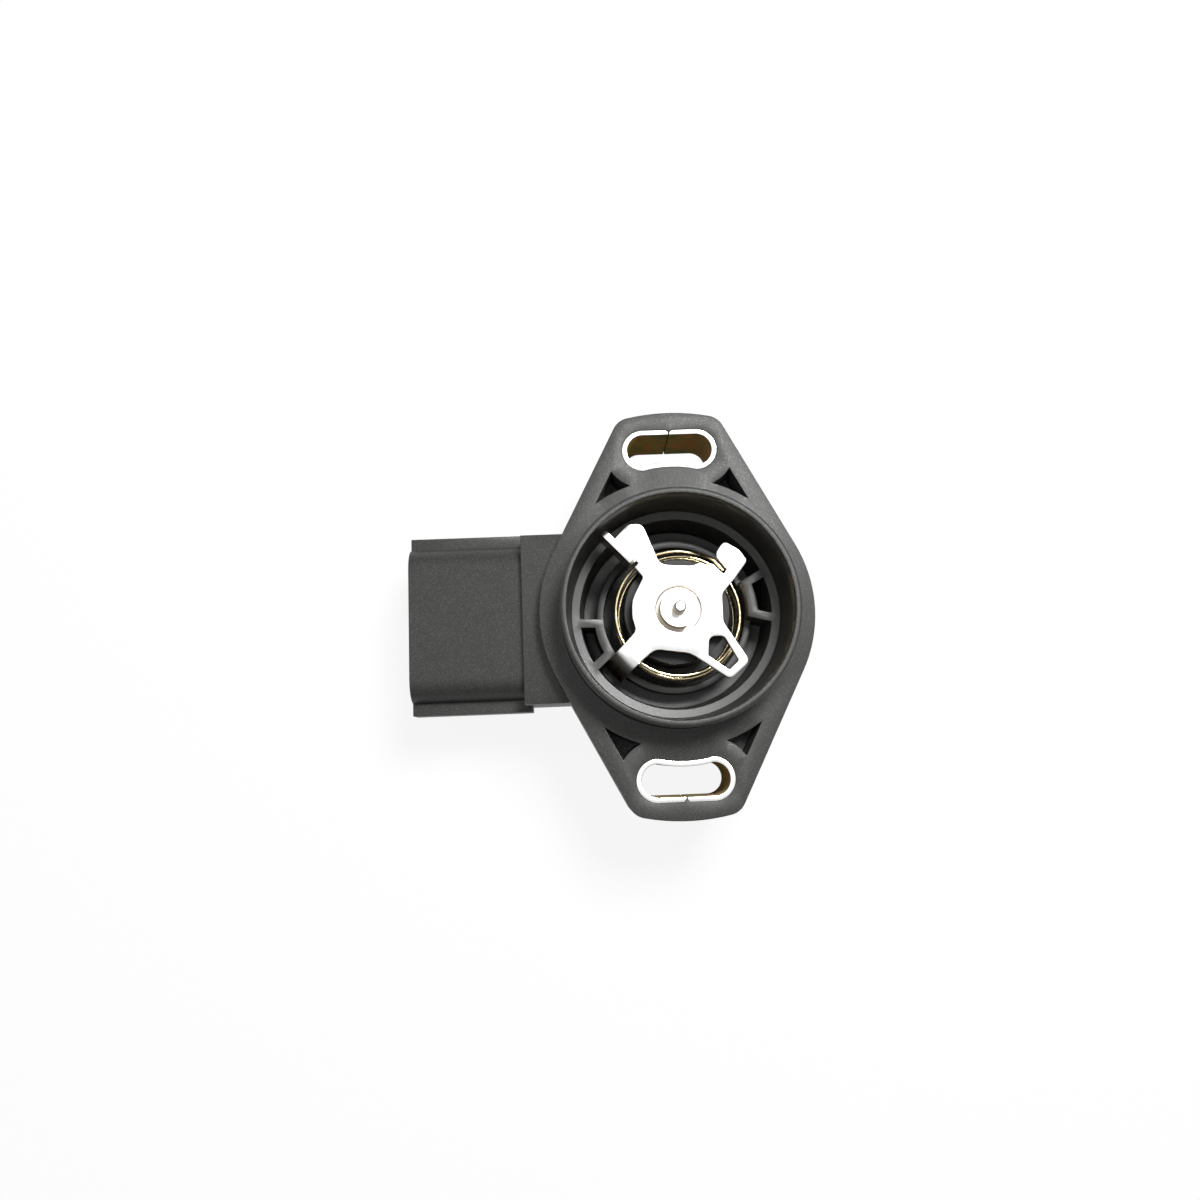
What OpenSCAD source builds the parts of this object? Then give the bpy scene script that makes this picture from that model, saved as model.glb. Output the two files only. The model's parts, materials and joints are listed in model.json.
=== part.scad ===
// Rotary throttle position sensor, seen from the side that faces the throttle body.
// The rotor turns about Z. The flange's mounting face lies on Z = 0, and the spigot points to +Z.
// The two slots lie on the Y axis and the connector points to -X. All sizes are in millimetres.

/* [Flange] */
// Radius of the flange round the cup
flange_r = 20.73; // [20.4:0.05:24]
// Angle of the normal of the flange's straight sides from the X axis, in degrees
flange_side_angle = 27.5; // [25:0.5:30]
// Radius of the crown at the end of each ear
ear_tip_r = 30.94; // [30.2:0.1:34]
// Radius of the ear's corners
ear_corner_r = 3; // [1.5:0.1:4.5]
// Thickness of the flange
flange_t = 10.4; // [9:0.1:10.8]
// Distance between the centres of the two slots
slot_pitch = 50; // [49.5:0.1:52]
// Depth of the core pockets beside the slots
pocket_depth = 6; // [2:0.5:8]
// Wall between a pocket and the flange's straight side
pocket_side_wall = 2.6; // [1.5:0.1:3]
// Wall between a pocket and the slot bush
pocket_bush_wall = 2.7; // [2:0.1:3.2]
// Land between a pocket and the foot of the spigot
pocket_land = 2.96; // [2:0.1:3.2]

/* [Slot bushes] */
// Length of a slot bush over its ends
bush_length = 14.59; // [12:0.1:15.5]
// Width of a slot bush
bush_width = 6.43; // [6:0.1:7]
// Sheet thickness of the slot bushes
bush_sheet = 0.78; // [0.5:0.05:1]
// How far the wall on the cup's side bows into the slot
bush_bow = 0.5; // [0.2:0.05:0.7]
// Gap where the rolled sheet meets
bush_split = 0.12; // [0.05:0.01:0.3]
// Depth of the V where the sheet's edges meet
bush_notch = 0.45; // [0.2:0.05:0.6]

/* [Spigot and cup] */
// Outer radius of the spigot
spigot_r = 17.59; // [17.3:0.01:18]
// Height of the spigot above the mounting face
spigot_h = 6.28; // [5:0.1:8]
// Chamfer at the spigot's rim
spigot_chamfer = 0.35; // [0.1:0.05:0.5]
// Radius of the cup's mouth
mouth_r = 16.62; // [16.45:0.01:16.8]
// Radius of the cup's wall at the ledge
ledge_outer_r = 15.93; // [15.9:0.01:16.2]
// Inner radius of the ledge
ledge_inner_r = 14.65; // [14.5:0.01:15]
// Depth of the ledge below the mounting face
ledge_depth = 2.67; // [2:0.1:3]
// Radius of the cup's wall at the floor
floor_r = 14.05; // [13.7:0.05:14.3]
// Depth of the cup's floor below the mounting face
floor_depth = 9.7; // [9.2:0.1:10.5]
// Outer radius of the ring wall round the spring
spring_wall_outer_r = 12.01; // [11.8:0.01:12.2]
// Inner radius of the ring wall round the spring
spring_wall_inner_r = 10.92; // [10.8:0.01:11.2]
// Depth of the ring wall's top below the mounting face
spring_wall_depth = 6.19; // [6:0.05:7]
// Angle of the slot in the ring wall that holds the spring's lower end, in degrees
anchor_angle = 36; // [34:0.5:38]
// Width of that slot
anchor_w = 1.1; // [0.9:0.1:1.6]

/* [Stops] */
// Angle that the rotor turns through, in degrees
travel = 124; // [90:1:126]
// Clearance between a stop and the lever's tab
stop_gap = 0.12; // [0.05:0.01:0.3]
// Thickness of the brackets' ribs
stop_rib = 1.32; // [1:0.05:1.5]
// Inner radius of the brackets' curved wall
stop_wall_inner_r = 11.1; // [11:0.05:11.3]
// Outer radius of the brackets' curved wall
stop_wall_outer_r = 12.55; // [12.3:0.05:12.8]
// Angle between a stop's face and the bracket's far rib, in degrees
stop_spread = 43.5; // [40:0.5:45]
// Distance from the rotor's axis to the line of the far rib's outer face
stop_far_offset = 0.9; // [0.5:0.05:1.2]

/* [Connector] */
// Distance from the rotor's axis to the connector's open end
connector_x = 40.9; // [39:0.1:44]
// Distance from the rotor's axis to the step where the shroud meets the neck
neck_x = 23.43; // [23.3:0.01:24.5]
// Width of the neck
neck_w = 25.98; // [25.6:0.1:27]
// Depth of the neck's upper face below the mounting face
neck_depth = 2.7; // [2:0.1:3.5]
// Depth of the neck's lower face below the mounting face
neck_bottom_depth = 13.5; // [12:0.1:15]
// Width of the chamber's block under the neck
block_w = 25.2; // [24.8:0.1:25.6]
// Width of the shroud without its side ribs
shroud_w = 24.1; // [23.6:0.1:25]
// Height of the shroud
shroud_h = 11; // [10:0.1:12]
// Depth of the shroud's upper face below the mounting face
shroud_depth = 4.1; // [3.8:0.1:4.4]
// Radius of the shroud's long edges
shroud_edge_r = 3.6; // [2.5:0.1:4]
// How far the side ribs stand out of the shroud
rib_out = 1.88; // [1:0.1:2.2]
// Height of the side ribs
rib_h = 4.4; // [3:0.1:6]
// Wall of the shroud
shroud_wall = 1.6; // [1.2:0.1:2]
// Depth of the socket
socket_depth = 13.5; // [12:0.5:14]

/* [Lever plate] */
// Sheet thickness of the lever
lever_t = 1.1; // [0.9:0.05:1.2]
// Height of the lever's upper face above the mounting face
lever_z = 1.5; // [1.4:0.05:2]
// Angle of the stop arm at rest, in degrees
arm_angle = 221.5; // [219:0.5:224]
// Width of the stop arm
arm_w = 3.56; // [3.2:0.02:3.9]
// Radius at which the stop arm bends down
arm_bend_start = 9.7; // [9.5:0.05:9.9]
// Outer radius of the stop arm's bend
arm_bend_r = 2.4; // [2:0.05:2.6]
// Angle between the bent-down tab and the rotor's axis, in degrees
arm_slant = 13.5; // [10:0.5:15]
// How far the stop arm's tab reaches below the lever's upper face
arm_drop = 6.9; // [6.2:0.05:7.1]
// Angle of the drive blade at rest, in degrees
blade_angle = 132.6; // [131:0.1:134]
// Sheet thickness of the drive blade
blade_t = 1.05; // [0.9:0.05:1.2]
// Inner radius of the drive blade
blade_inner_r = 9.55; // [9.4:0.05:9.8]
// Outer radius of the drive blade
blade_outer_r = 15.7; // [15:0.05:15.75]
// Height of the drive blade above the lever's upper face
blade_h = 4.0; // [3:0.1:5]
// Radius of the drive blade's outer corner
blade_corner_r = 1.1; // [0.5:0.1:1.5]

/* [Shaft and hub] */
// Radius of the shaft in its bearing
shaft_r = 3; // [2.9:0.05:3.2]
// Radius of the riveted head over the lever
head_r = 2.75; // [2.6:0.05:2.8]
// Distance from the axis to the head's flat
head_flat = 1.8; // [1.5:0.05:2.2]
// Angle of the normal of the head's flat, in degrees
head_flat_angle = -16; // [-20:1:-12]
// Height of the head above the lever's upper face
head_h = 1.2; // [0.8:0.1:1.6]
// Radius of the recess round the head
recess_r = 3.4; // [3.2:0.05:3.8]
// Depth of the recess round the head
recess_depth = 0.5; // [0.2:0.05:0.6]
// Radius of the centre nub at its foot
nub_r = 1; // [0.8:0.05:1.1]
// Height of the centre nub above the head
nub_h = 2.3; // [1.5:0.1:3]
// Outer radius of the hub
hub_r = 7.9; // [7.8:0.05:8]
// Wall of the hub's skirt
hub_wall = 1.8; // [1.2:0.1:1.9]
// Radius of the hub's raised middle under the lever
hub_boss_r = 6; // [5:0.1:6.4]
// Depth of the hub's shoulder below the mounting face
hub_shoulder_depth = 1; // [0.9:0.1:1.4]

/* [Return spring] */
// Mean radius of the coils
spring_r = 9.34; // [9.25:0.01:9.4]
// Diameter of the wire
wire_d = 0.55; // [0.4:0.05:0.6]
// Number of turns
turns = 5; // [3:1:5]
// Depth of the top coil's middle below the mounting face
spring_top_depth = 1.3; // [1.1:0.05:1.6]
// Depth of the bottom coil's middle below the mounting face
spring_bottom_depth = 7.2; // [6.9:0.05:8.5]
// How far the lower coils are pushed off the axis
spring_drift = 0.85; // [0:0.05:0.9]

/* [Bearing and seal] */
// Outer radius of the bearing bush
bearing_r = 4.3; // [4:0.05:4.6]
// Radial running clearance of the shaft
running_gap = 0.04; // [0.02:0.01:0.08]
// Outer radius of the bearing tower
tower_r = 5.6; // [5.3:0.05:5.7]
// Depth of the tower's top below the mounting face
tower_depth = 3.8; // [3.6:0.05:4.5]
// Thickness of the thrust washer
washer_t = 0.5; // [0.3:0.05:0.8]
// Outer radius of the shaft seal
seal_r = 5; // [4.8:0.05:5.4]
// Height of the shaft seal
seal_h = 2; // [1.5:0.1:2.2]
// Depth of the bearing's lower end below the mounting face
bearing_depth = 11.7; // [11.5:0.1:11.9]

/* [Chamber] */
// Outer radius of the body behind the flange
body_r = 18.6; // [18.4:0.05:20]
// Depth of the body's lowest face below the mounting face
body_depth = 20.5; // [20:0.1:22]
// Chamfer at the foot of the body
body_chamfer = 0.6; // [0.2:0.1:1]
// Radius of the rotor chamber
chamber_r = 12.6; // [12.3:0.05:13]
// Depth of the rotor chamber's roof below the mounting face
chamber_top_depth = 13.9; // [13.8:0.05:14]
// Depth of the board's upper face below the mounting face
board_depth = 16.4; // [16.3:0.05:16.6]
// Thickness of the board
board_t = 0.8; // [0.6:0.05:1.2]
// Thickness of the printed tracks
track_t = 0.1; // [0.05:0.01:0.15]
// Radius of the cover
cover_r = 16.6; // [16.4:0.05:16.9]
// Distance from the rotor's axis to the cover's straight edge
cover_x = 21.4; // [21.2:0.05:21.8]
// Half width of the cover's straight part
cover_half_w = 11.2; // [11.15:0.05:11.4]
// Thickness of the cover
cover_t = 1.5; // [1:0.1:1.8]
// Land under the cover's edge, outside the chamber
cover_land = 2; // [1.8:0.05:2.2]
// Side of the seal cord under the cover
seal_cord = 0.8; // [0.6:0.05:0.9]

/* [Contacts] */
// Number of terminals
terminal_count = 6; // [2:1:6]
// Distance between neighbouring terminals
terminal_pitch = 3.2; // [2.8:0.1:3.3]
// Width of a terminal
terminal_w = 1.5; // [1:0.1:1.6]
// Thickness of a terminal
terminal_t = 0.64; // [0.5:0.02:0.8]
// How far the terminals stand out of the socket's floor
terminal_out = 7.5; // [6:0.1:8]
// Distance from the rotor's axis to the terminals' downward legs
terminal_leg_x = 17.6; // [17.4:0.05:18]
// Radius of the wiper carrier
carrier_r = 11.4; // [11:0.1:11.8]
// Thickness of the wiper carrier
carrier_t = 1.2; // [0.8:0.1:1.3]
// Mean radius of the resistive track
track_r = 9.5; // [9.2:0.1:9.8]
// Mean radius of the switch track
switch_r = 6.7; // [6.4:0.1:6.8]
// Width of the printed tracks
track_w = 1.6; // [1:0.1:1.8]
// Angle that the printed tracks span, in degrees
track_span = 150; // [140:1:160]
// Width of a wiper's leaf
leaf_w = 1.2; // [0.8:0.1:1.4]

/* [Hidden] */
$fn = 96;
eps = 0.01;
far = 60;

plastic = "dimgray";
zinc = "gainsboro";

slot_y = slot_pitch / 2;
bush_end_r = bush_width / 2;
bush_half = bush_length / 2 - bush_end_r;
bush_bow_r = (bush_half * bush_half + bush_bow * bush_bow) / (2 * bush_bow);
pocket_side = flange_r - pocket_side_wall;
pocket_ring_r = spigot_r + pocket_land;
pocket_slot_r = bush_end_r + pocket_bush_wall;

lever_bottom = lever_z - lever_t;
mid_angle = arm_angle + travel / 2;
stop_face = arm_w / 2 + stop_gap;
blade_top = lever_z + blade_h;
notch_angle = 39;
notch_end = [7.03, 5.71];
drift_angle = -50;

washer_bottom = -tower_depth;
washer_top = washer_bottom + washer_t;
hub_bottom = -floor_depth + 0.5;
hub_shoulder = -hub_shoulder_depth;
hub_skirt_r = hub_r - hub_wall;

seal_bottom = -bearing_depth - seal_h;
carrier_top = -chamber_top_depth - 0.3;
carrier_bottom = carrier_top - carrier_t;
clip_t = 0.4;
clip_r = 4.6;
shaft_bottom = carrier_bottom - clip_t - 0.1;
track_top = -board_depth + track_t;
board_bottom = -board_depth - board_t;
cover_top = -body_depth + cover_t;
board_gap = 0.3;
cover_fit = 0.1;

terminal_z = -shroud_depth - shroud_h / 2;
socket_floor_x = connector_x - socket_depth;
terminal_tip_x = socket_floor_x + terminal_out;
pad_w = terminal_w + 0.2;
pad_room = 0.5;

function polar(r, a) = [r * cos(a), r * sin(a)];
function unit(v) = v / norm(v);

// Arc points that round corner b of a path a-b-c with radius r
function corner_arc(a, b, c, r) =
    let (
        u = unit([a.x - b.x, a.y - b.y]),
        v = unit([c.x - b.x, c.y - b.y]),
        half = acos(u * v) / 2,
        centre = [b.x, b.y] + unit(u + v) * r / sin(half),
        start = [b.x, b.y] + u * r / tan(half) - centre,
        end = [b.x, b.y] + v * r / tan(half) - centre,
        a0 = atan2(start.y, start.x),
        turn = (atan2(end.y, end.x) - a0 + 540) % 360 - 180,
        steps = max(2, ceil(abs(turn) / 15)))
    [for (k = [0:steps]) centre + polar(r, a0 + turn * k / steps)];

// Closed outline through corners [x, y, radius]
function rounded_path(corners) =
    let (n = len(corners))
    [for (i = [0:n - 1])
        each corner_arc(corners[(i + n - 1) % n], corners[i], corners[(i + 1) % n], corners[i].z)];

// Everything on the positive side of a line at an angle, moved off the axis by offset
module half_plane(angle, offset) {
    rotate(angle)
        translate([-far, offset])
            square([2 * far, far]);
}

module ring(outer_r, inner_r, z, h) {
    translate([0, 0, z])
        difference() {
            cylinder(r = outer_r, h = h);
            translate([0, 0, -eps])
                cylinder(r = inner_r, h = h + 2 * eps);
        }
}

// Sector of a ring between two angles that lie less than 180 degrees apart
module ring_sector(outer_r, inner_r, from, to) {
    intersection() {
        difference() {
            circle(r = outer_r);
            circle(r = inner_r);
        }
        half_plane(from, 0);
        half_plane(to + 180, 0);
    }
}

module flange_outline() {
    along = sqrt(pow(ear_tip_r - ear_corner_r, 2) - pow(flange_r - ear_corner_r, 2));
    normal = polar(1, flange_side_angle);
    side = polar(1, flange_side_angle + 90);
    corner = normal * (flange_r - ear_corner_r) + side * along;
    foot = normal * flange_r;
    edge = corner + normal * ear_corner_r;
    wide = unit(corner) * far;
    circle(r = flange_r);
    for (s = [0, 1])
        mirror([0, s])
            polygon([foot, edge, corner, [-corner.x, corner.y], [-edge.x, edge.y], [-foot.x, foot.y]]);
    for (sx = [-1, 1], sy = [-1, 1])
        translate([sx * corner.x, sy * corner.y])
            circle(r = ear_corner_r);
    intersection() {
        circle(r = ear_tip_r);
        for (s = [-1, 1])
            polygon([[0, 0], [wide.x, s * wide.y], [-wide.x, s * wide.y]]);
    }
}

// Outline of the upper slot with its wall drawn in by inset
module slot_outline(inset) {
    difference() {
        translate([0, slot_y]) {
            square([2 * bush_half, bush_width - 2 * inset], center = true);
            for (s = [-1, 1])
                translate([s * bush_half, 0])
                    circle(r = bush_end_r - inset);
        }
        translate([0, slot_y - bush_end_r - bush_bow_r + bush_bow])
            circle(r = bush_bow_r + inset);
    }
}

// The V between the rolled sheet's edges, which the plastic fills
module split_notch() {
    outer = slot_y + bush_end_r;
    polygon([[-bush_notch, outer + eps], [0, outer - bush_notch], [bush_notch, outer + eps]]);
}

module slot_bush() {
    color(zinc)
        translate([0, 0, -flange_t])
            linear_extrude(flange_t)
                difference() {
                    slot_outline(0);
                    slot_outline(bush_sheet);
                    split_notch();
                    translate([-bush_split / 2, slot_y])
                        square([bush_split, far]);
                }
}

module upper_slot_bush() slot_bush();

module lower_slot_bush() rotate(180) slot_bush();

module pocket_outline() {
    difference() {
        intersection() {
            square([far, far]);
            rotate(flange_side_angle)
                translate([0, -far / 2])
                    square([pocket_side, far]);
        }
        circle(r = pocket_ring_r);
        translate([bush_half, slot_y])
            circle(r = pocket_slot_r);
        translate([0, slot_y])
            square([2 * bush_half, 2 * pocket_slot_r], center = true);
        translate([0, slot_y])
            square([far, far]);
    }
}

// Space inside the cup, from the mouth to the floor
module cup_space() {
    rotate_extrude()
        polygon([
            [0, -floor_depth],
            [floor_r, -floor_depth],
            [ledge_inner_r, -ledge_depth],
            [ledge_outer_r, -ledge_depth],
            [mouth_r, spigot_h],
            [mouth_r, spigot_h + 1],
            [0, spigot_h + 1]]);
}

// Bracket at the rest stop: a curved wall with two ribs that run out to the cup's wall
module bracket_outline() {
    far_angle = arm_angle - stop_spread;
    difference() {
        intersection() {
            half_plane(far_angle, stop_far_offset);
            half_plane(arm_angle + 180, stop_face);
            circle(r = mouth_r);
        }
        circle(r = stop_wall_inner_r);
        difference() {
            intersection() {
                half_plane(far_angle, stop_far_offset + stop_rib);
                half_plane(arm_angle + 180, stop_face + stop_rib);
            }
            circle(r = stop_wall_outer_r);
        }
    }
}

module stop_brackets() {
    translate([0, 0, -floor_depth - eps])
        linear_extrude(floor_depth - ledge_depth + eps) {
            bracket_outline();
            rotate(mid_angle)
                mirror([0, 1])
                    rotate(-mid_angle)
                        bracket_outline();
        }
}

// Ring wall round the spring, with the slot that holds the spring's lower end
module spring_wall() {
    difference() {
        ring(spring_wall_outer_r, spring_wall_inner_r, -floor_depth - eps,
            floor_depth - spring_wall_depth + eps);
        rotate(anchor_angle)
            translate([spring_wall_inner_r - 1, -anchor_w / 2, -floor_depth])
                cube([3, anchor_w, floor_depth]);
    }
}

module bearing_tower() {
    translate([0, 0, -floor_depth - eps])
        cylinder(r = tower_r, h = floor_depth - tower_depth + eps);
}

// Outline of the cover's seat, drawn in by inset
module cover_outline(inset) {
    circle(r = cover_r - inset);
    translate([inset - cover_x, inset - cover_half_w])
        square([cover_x - inset, 2 * (cover_half_w - inset)]);
}

module shroud_outline(inset) {
    w = shroud_w - 2 * inset;
    h = shroud_h - 2 * inset;
    r = shroud_edge_r - inset;
    square([w - 2 * r, h], center = true);
    square([w, h - 2 * r], center = true);
    for (sx = [-1, 1], sy = [-1, 1])
        translate([sx * (w / 2 - r), sy * (h / 2 - r)])
            circle(r = r);
}

// Stands a profile of width Y and height Z up at the connector's middle and draws it out along X
module along_connector(from_x, to_x) {
    translate([-from_x, 0, terminal_z])
        rotate([90, 0, 90])
            linear_extrude(from_x - to_x)
                children();
}

module connector_solid() {
    along_connector(connector_x, neck_x - 1) {
        shroud_outline(0);
        square([shroud_w + 2 * rib_out, rib_h], center = true);
    }
    translate([-neck_x, -neck_w / 2, -neck_bottom_depth])
        cube([neck_x, neck_w, neck_bottom_depth - neck_depth]);
    translate([-neck_x, -block_w / 2, -body_depth])
        cube([neck_x, block_w, body_depth - neck_depth - 1]);
}

module body_solid() {
    translate([0, 0, -flange_t])
        linear_extrude(flange_t)
            flange_outline();
    rotate_extrude()
        polygon([
            [0, -body_depth],
            [body_r - body_chamfer, -body_depth],
            [body_r, -body_depth + body_chamfer],
            [body_r, 0],
            [spigot_r, 0],
            [spigot_r, spigot_h - spigot_chamfer],
            [spigot_r - spigot_chamfer, spigot_h],
            [0, spigot_h]]);
    connector_solid();
}

module chamber_space() {
    translate([0, 0, -board_depth - eps])
        cylinder(r = chamber_r, h = board_depth - chamber_top_depth + eps);
    translate([board_gap + cover_land - cover_x, -(cover_half_w - cover_land - board_gap), -board_depth - eps])
        cube([cover_x - cover_land - board_gap, 2 * (cover_half_w - cover_land - board_gap), pad_room + eps]);
    translate([0, 0, -body_depth - eps])
        linear_extrude(body_depth - board_depth + eps)
            cover_outline(cover_land);
    translate([0, 0, -body_depth - eps])
        linear_extrude(cover_t + eps)
            cover_outline(0);
    translate([0, 0, cover_top - eps])
        linear_extrude(seal_cord + eps)
            seal_outline();
}

module shaft_space() {
    translate([0, 0, -bearing_depth])
        cylinder(r = bearing_r, h = bearing_depth);
    translate([0, 0, -chamber_top_depth - eps])
        cylinder(r = seal_r, h = chamber_top_depth - bearing_depth + eps);
}

module housing() {
    color(plastic)
        difference() {
            body_solid();
            difference() {
                cup_space();
                spring_wall();
                stop_brackets();
                bearing_tower();
            }
            shaft_space();
            chamber_space();
            for (a = [0, 180])
                rotate(a)
                    translate([0, 0, -flange_t - eps])
                        linear_extrude(flange_t + 2 * eps)
                            difference() {
                                slot_outline(0);
                                split_notch();
                            }
            for (sx = [0, 1], sy = [0, 1])
                mirror([sx, 0, 0])
                    mirror([0, sy, 0])
                        translate([0, 0, -pocket_depth])
                            linear_extrude(pocket_depth + eps)
                                pocket_outline();
            along_connector(connector_x + eps, socket_floor_x)
                shroud_outline(shroud_wall);
            for (i = [1:terminal_count])
                terminal_solid(i);
        }
}

// Outline of the lever from above: corners with their radii, anticlockwise from the right side
lever_corners = [
    [6.62, -2.2, 1.5], [6.65, 2.15, 1.5], [8.6, 4.3, 4], [10.72, 7.02, 0.7], [9.5, 8.75, 2], [7.3, 10.1, 0.8],
    [6.15, 8.5, 0.9], [6.08, 7.62, 0.25], [7.5, 5.8, 0.15], [7.02, 5.1, 0.15], [5.45, 6.72, 0.35], [4.35, 6.7, 0.8],
    [3.5, 6.92, 0.8], [2.3, 6.5, 1.5], [-2.42, 6.85, 1.6], [-4.82, 13.25, 1.4], [-6.95, 13.2, 1.4],
    [-9.55, 10.45, 0.1], polar(blade_inner_r + 0.05, blade_angle + 0.5), polar(blade_inner_r, blade_angle - 4.5),
    polar(blade_inner_r - 0.4, blade_angle - 4.5), polar(blade_inner_r - 0.4, blade_angle + 0.5),
    [-5, 5.05, 0.5], [-6.85, 1.6, 4], [-6.9, -0.9, 3], [-6.42, -2.95, 0.8],
    polar_offset(arm_bend_start, arm_angle, -arm_w / 2), polar_offset(arm_bend_start, arm_angle, arm_w / 2),
    [-3.75, -5.8, 2], [1.5, -6.6, 3], [7.15, -10.62, 0.9], [10.25, -8.1, 1.1]];

// Outline of the eye in the lower right arm
eye_corners = [
    [4.1, -7.05, 0.25], [7.05, -9.25, 0.3], [8.55, -7.9, 0.35], [6.55, -4.2, 0.9], [4.35, -4.15, 1]];

// Point at radius u along a direction, moved sideways by v
function polar_offset(u, a, v) = polar(u, a) + polar(v, a + 90);

function with_radius(p) = len(p) == 3 ? p : [p.x, p.y, 0.05];

module head_outline() {
    difference() {
        circle(r = head_r);
        rotate(head_flat_angle)
            translate([head_flat, -far / 2])
                square([far, far]);
    }
}

module lever_sheet() {
    difference() {
        translate([0, 0, lever_bottom])
            linear_extrude(lever_t)
                difference() {
                    polygon(rounded_path([for (p = lever_corners) with_radius(p)]));
                    polygon(rounded_path(eye_corners));
                    head_outline();
                }
        translate([0, 0, lever_z - recess_depth])
            cylinder(r = recess_r, h = recess_depth + eps);
    }
}

// Drive blade, bent up along the upper left arm
module drive_blade() {
    length = blade_outer_r - blade_inner_r;
    height = blade_top - lever_bottom;
    rotate(blade_angle)
        translate([blade_inner_r, blade_t - 0.15, lever_bottom])
            rotate([90, 0, 0])
                linear_extrude(blade_t) {
                    square([length - blade_corner_r, height]);
                    square([length, height - blade_corner_r]);
                    translate([length - blade_corner_r, height - blade_corner_r])
                        circle(r = blade_corner_r);
                }
}

// Stop arm, bent down over the ring wall: an arc and a slanted tab
module stop_arm() {
    inner_bend_r = arm_bend_r - lever_t;
    tab = (arm_drop - arm_bend_r * (1 - sin(arm_slant))) / cos(arm_slant);
    rotate(arm_angle)
        translate([arm_bend_start, arm_w / 2, lever_z - arm_bend_r])
            rotate([90, 0, 0])
                linear_extrude(arm_w) {
                    difference() {
                        intersection() {
                            circle(r = arm_bend_r);
                            half_plane(arm_slant, 0);
                            translate([-eps, -far / 2])
                                square([far, far]);
                        }
                        circle(r = inner_bend_r);
                    }
                    rotate(arm_slant)
                        translate([inner_bend_r, -tab])
                            square([lever_t, tab + eps]);
                }
}

module lever_plate() {
    color(zinc) {
        lever_sheet();
        drive_blade();
        stop_arm();
    }
}

module rotor_shaft() {
    color("silver") {
        translate([0, 0, shaft_bottom])
            cylinder(r = shaft_r, h = lever_bottom - shaft_bottom);
        translate([0, 0, lever_bottom])
            linear_extrude(lever_t + head_h)
                head_outline();
        translate([0, 0, lever_z + head_h])
            cylinder(r1 = nub_r, r2 = nub_r - 0.15, h = nub_h - 0.2);
        translate([0, 0, lever_z + head_h + nub_h - 0.2])
            cylinder(r1 = nub_r - 0.15, r2 = nub_r - 0.35, h = 0.2);
    }
}

module rotor_hub() {
    color("darkslategray")
        rotate_extrude()
            polygon([
                [shaft_r, washer_top],
                [hub_skirt_r, washer_top],
                [hub_skirt_r, hub_bottom],
                [hub_r, hub_bottom],
                [hub_r, hub_shoulder],
                [hub_boss_r, hub_shoulder],
                [hub_boss_r, lever_bottom],
                [shaft_r, lever_bottom]]);
}

// Middle line of the spring: an end in the ring wall's slot, the coils, and an end in the lever's notch
coil_steps = 30;
coil_start_angle = anchor_angle - 7;
coil_end_angle = notch_angle + 36;
coil_turn = 360 * turns + coil_start_angle - coil_end_angle;
coil_count = ceil(coil_turn / 360 * coil_steps);
leg_count = 8;
leg_turn = 24;
leg_z = lever_z - lever_t / 2;

function coil_drift(t) = spring_drift * min(1, 4 * (1 - t)) * min(1, 6 * t);

function coil_point(t) =
    let (
        angle = coil_start_angle - coil_turn * t,
        centre = polar(coil_drift(t), drift_angle),
        z = -spring_bottom_depth + (spring_bottom_depth - spring_top_depth) * t)
    [each centre + polar(spring_r, angle), z];

function leg_point(t) =
    [each polar(spring_r - 0.14 * t, coil_end_angle - leg_turn * t),
        -spring_top_depth + (leg_z + spring_top_depth) * t * t * (3 - 2 * t)];

spring_path = concat(
    [for (p = [[spring_wall_outer_r - 0.3, 0], [spring_wall_inner_r - 0.5, 0], [spring_r + 0.35, -3]])
        [each polar(p.x, anchor_angle + p.y), -spring_bottom_depth]],
    [for (k = [0:coil_count]) coil_point(k / coil_count)],
    [for (k = [1:leg_count]) leg_point(k / leg_count)],
    [[each notch_end, leg_z]]);

module return_spring() {
    color("goldenrod")
        wire_sweep(spring_path, wire_d / 2, 8);
}

// Round wire swept along a path of points
module wire_sweep(path, r, sides) {
    n = len(path);
    rings = [for (i = [0:n - 1])
        let (
            ahead = path[min(i + 1, n - 1)] - path[max(i - 1, 0)],
            t = unit(ahead),
            u = unit(cross([0, 0, 1], t)),
            w = cross(t, u))
        for (k = [0:sides - 1]) path[i] + (u * cos(360 * k / sides) + w * sin(360 * k / sides)) * r];
    polyhedron(
        rings,
        concat(
            [[for (k = [0:sides - 1]) k]],
            [for (i = [0:n - 2], k = [0:sides - 1])
                [i * sides + k, (i + 1) * sides + k, (i + 1) * sides + (k + 1) % sides, i * sides + (k + 1) % sides]],
            [[for (k = [sides - 1:-1:0]) (n - 1) * sides + k]]));
}

module shaft_bearing() {
    color("peru")
        ring(bearing_r, shaft_r + running_gap, -bearing_depth, bearing_depth - tower_depth);
}

module thrust_washer() {
    color("silver")
        ring(tower_r - 0.3, shaft_r + 0.15, washer_bottom, washer_t);
}

// Lip seal: a cup section whose lip runs on the shaft
module shaft_seal() {
    lip = 0.8;
    color("black")
        rotate_extrude()
            polygon([
                [shaft_r + running_gap, seal_bottom],
                [shaft_r + lip, seal_bottom],
                [shaft_r + lip, seal_bottom + seal_h - lip],
                [seal_r - lip, seal_bottom + seal_h - lip],
                [seal_r - lip, seal_bottom],
                [seal_r, seal_bottom],
                [seal_r, seal_bottom + seal_h],
                [shaft_r + 2 * running_gap, seal_bottom + seal_h]]);
}

module wiper_carrier() {
    color("darkolivegreen")
        ring(carrier_r, shaft_r, carrier_bottom, carrier_t);
}

module retaining_clip() {
    color("silver")
        ring(clip_r, shaft_r, carrier_bottom - clip_t, clip_t);
}

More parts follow.
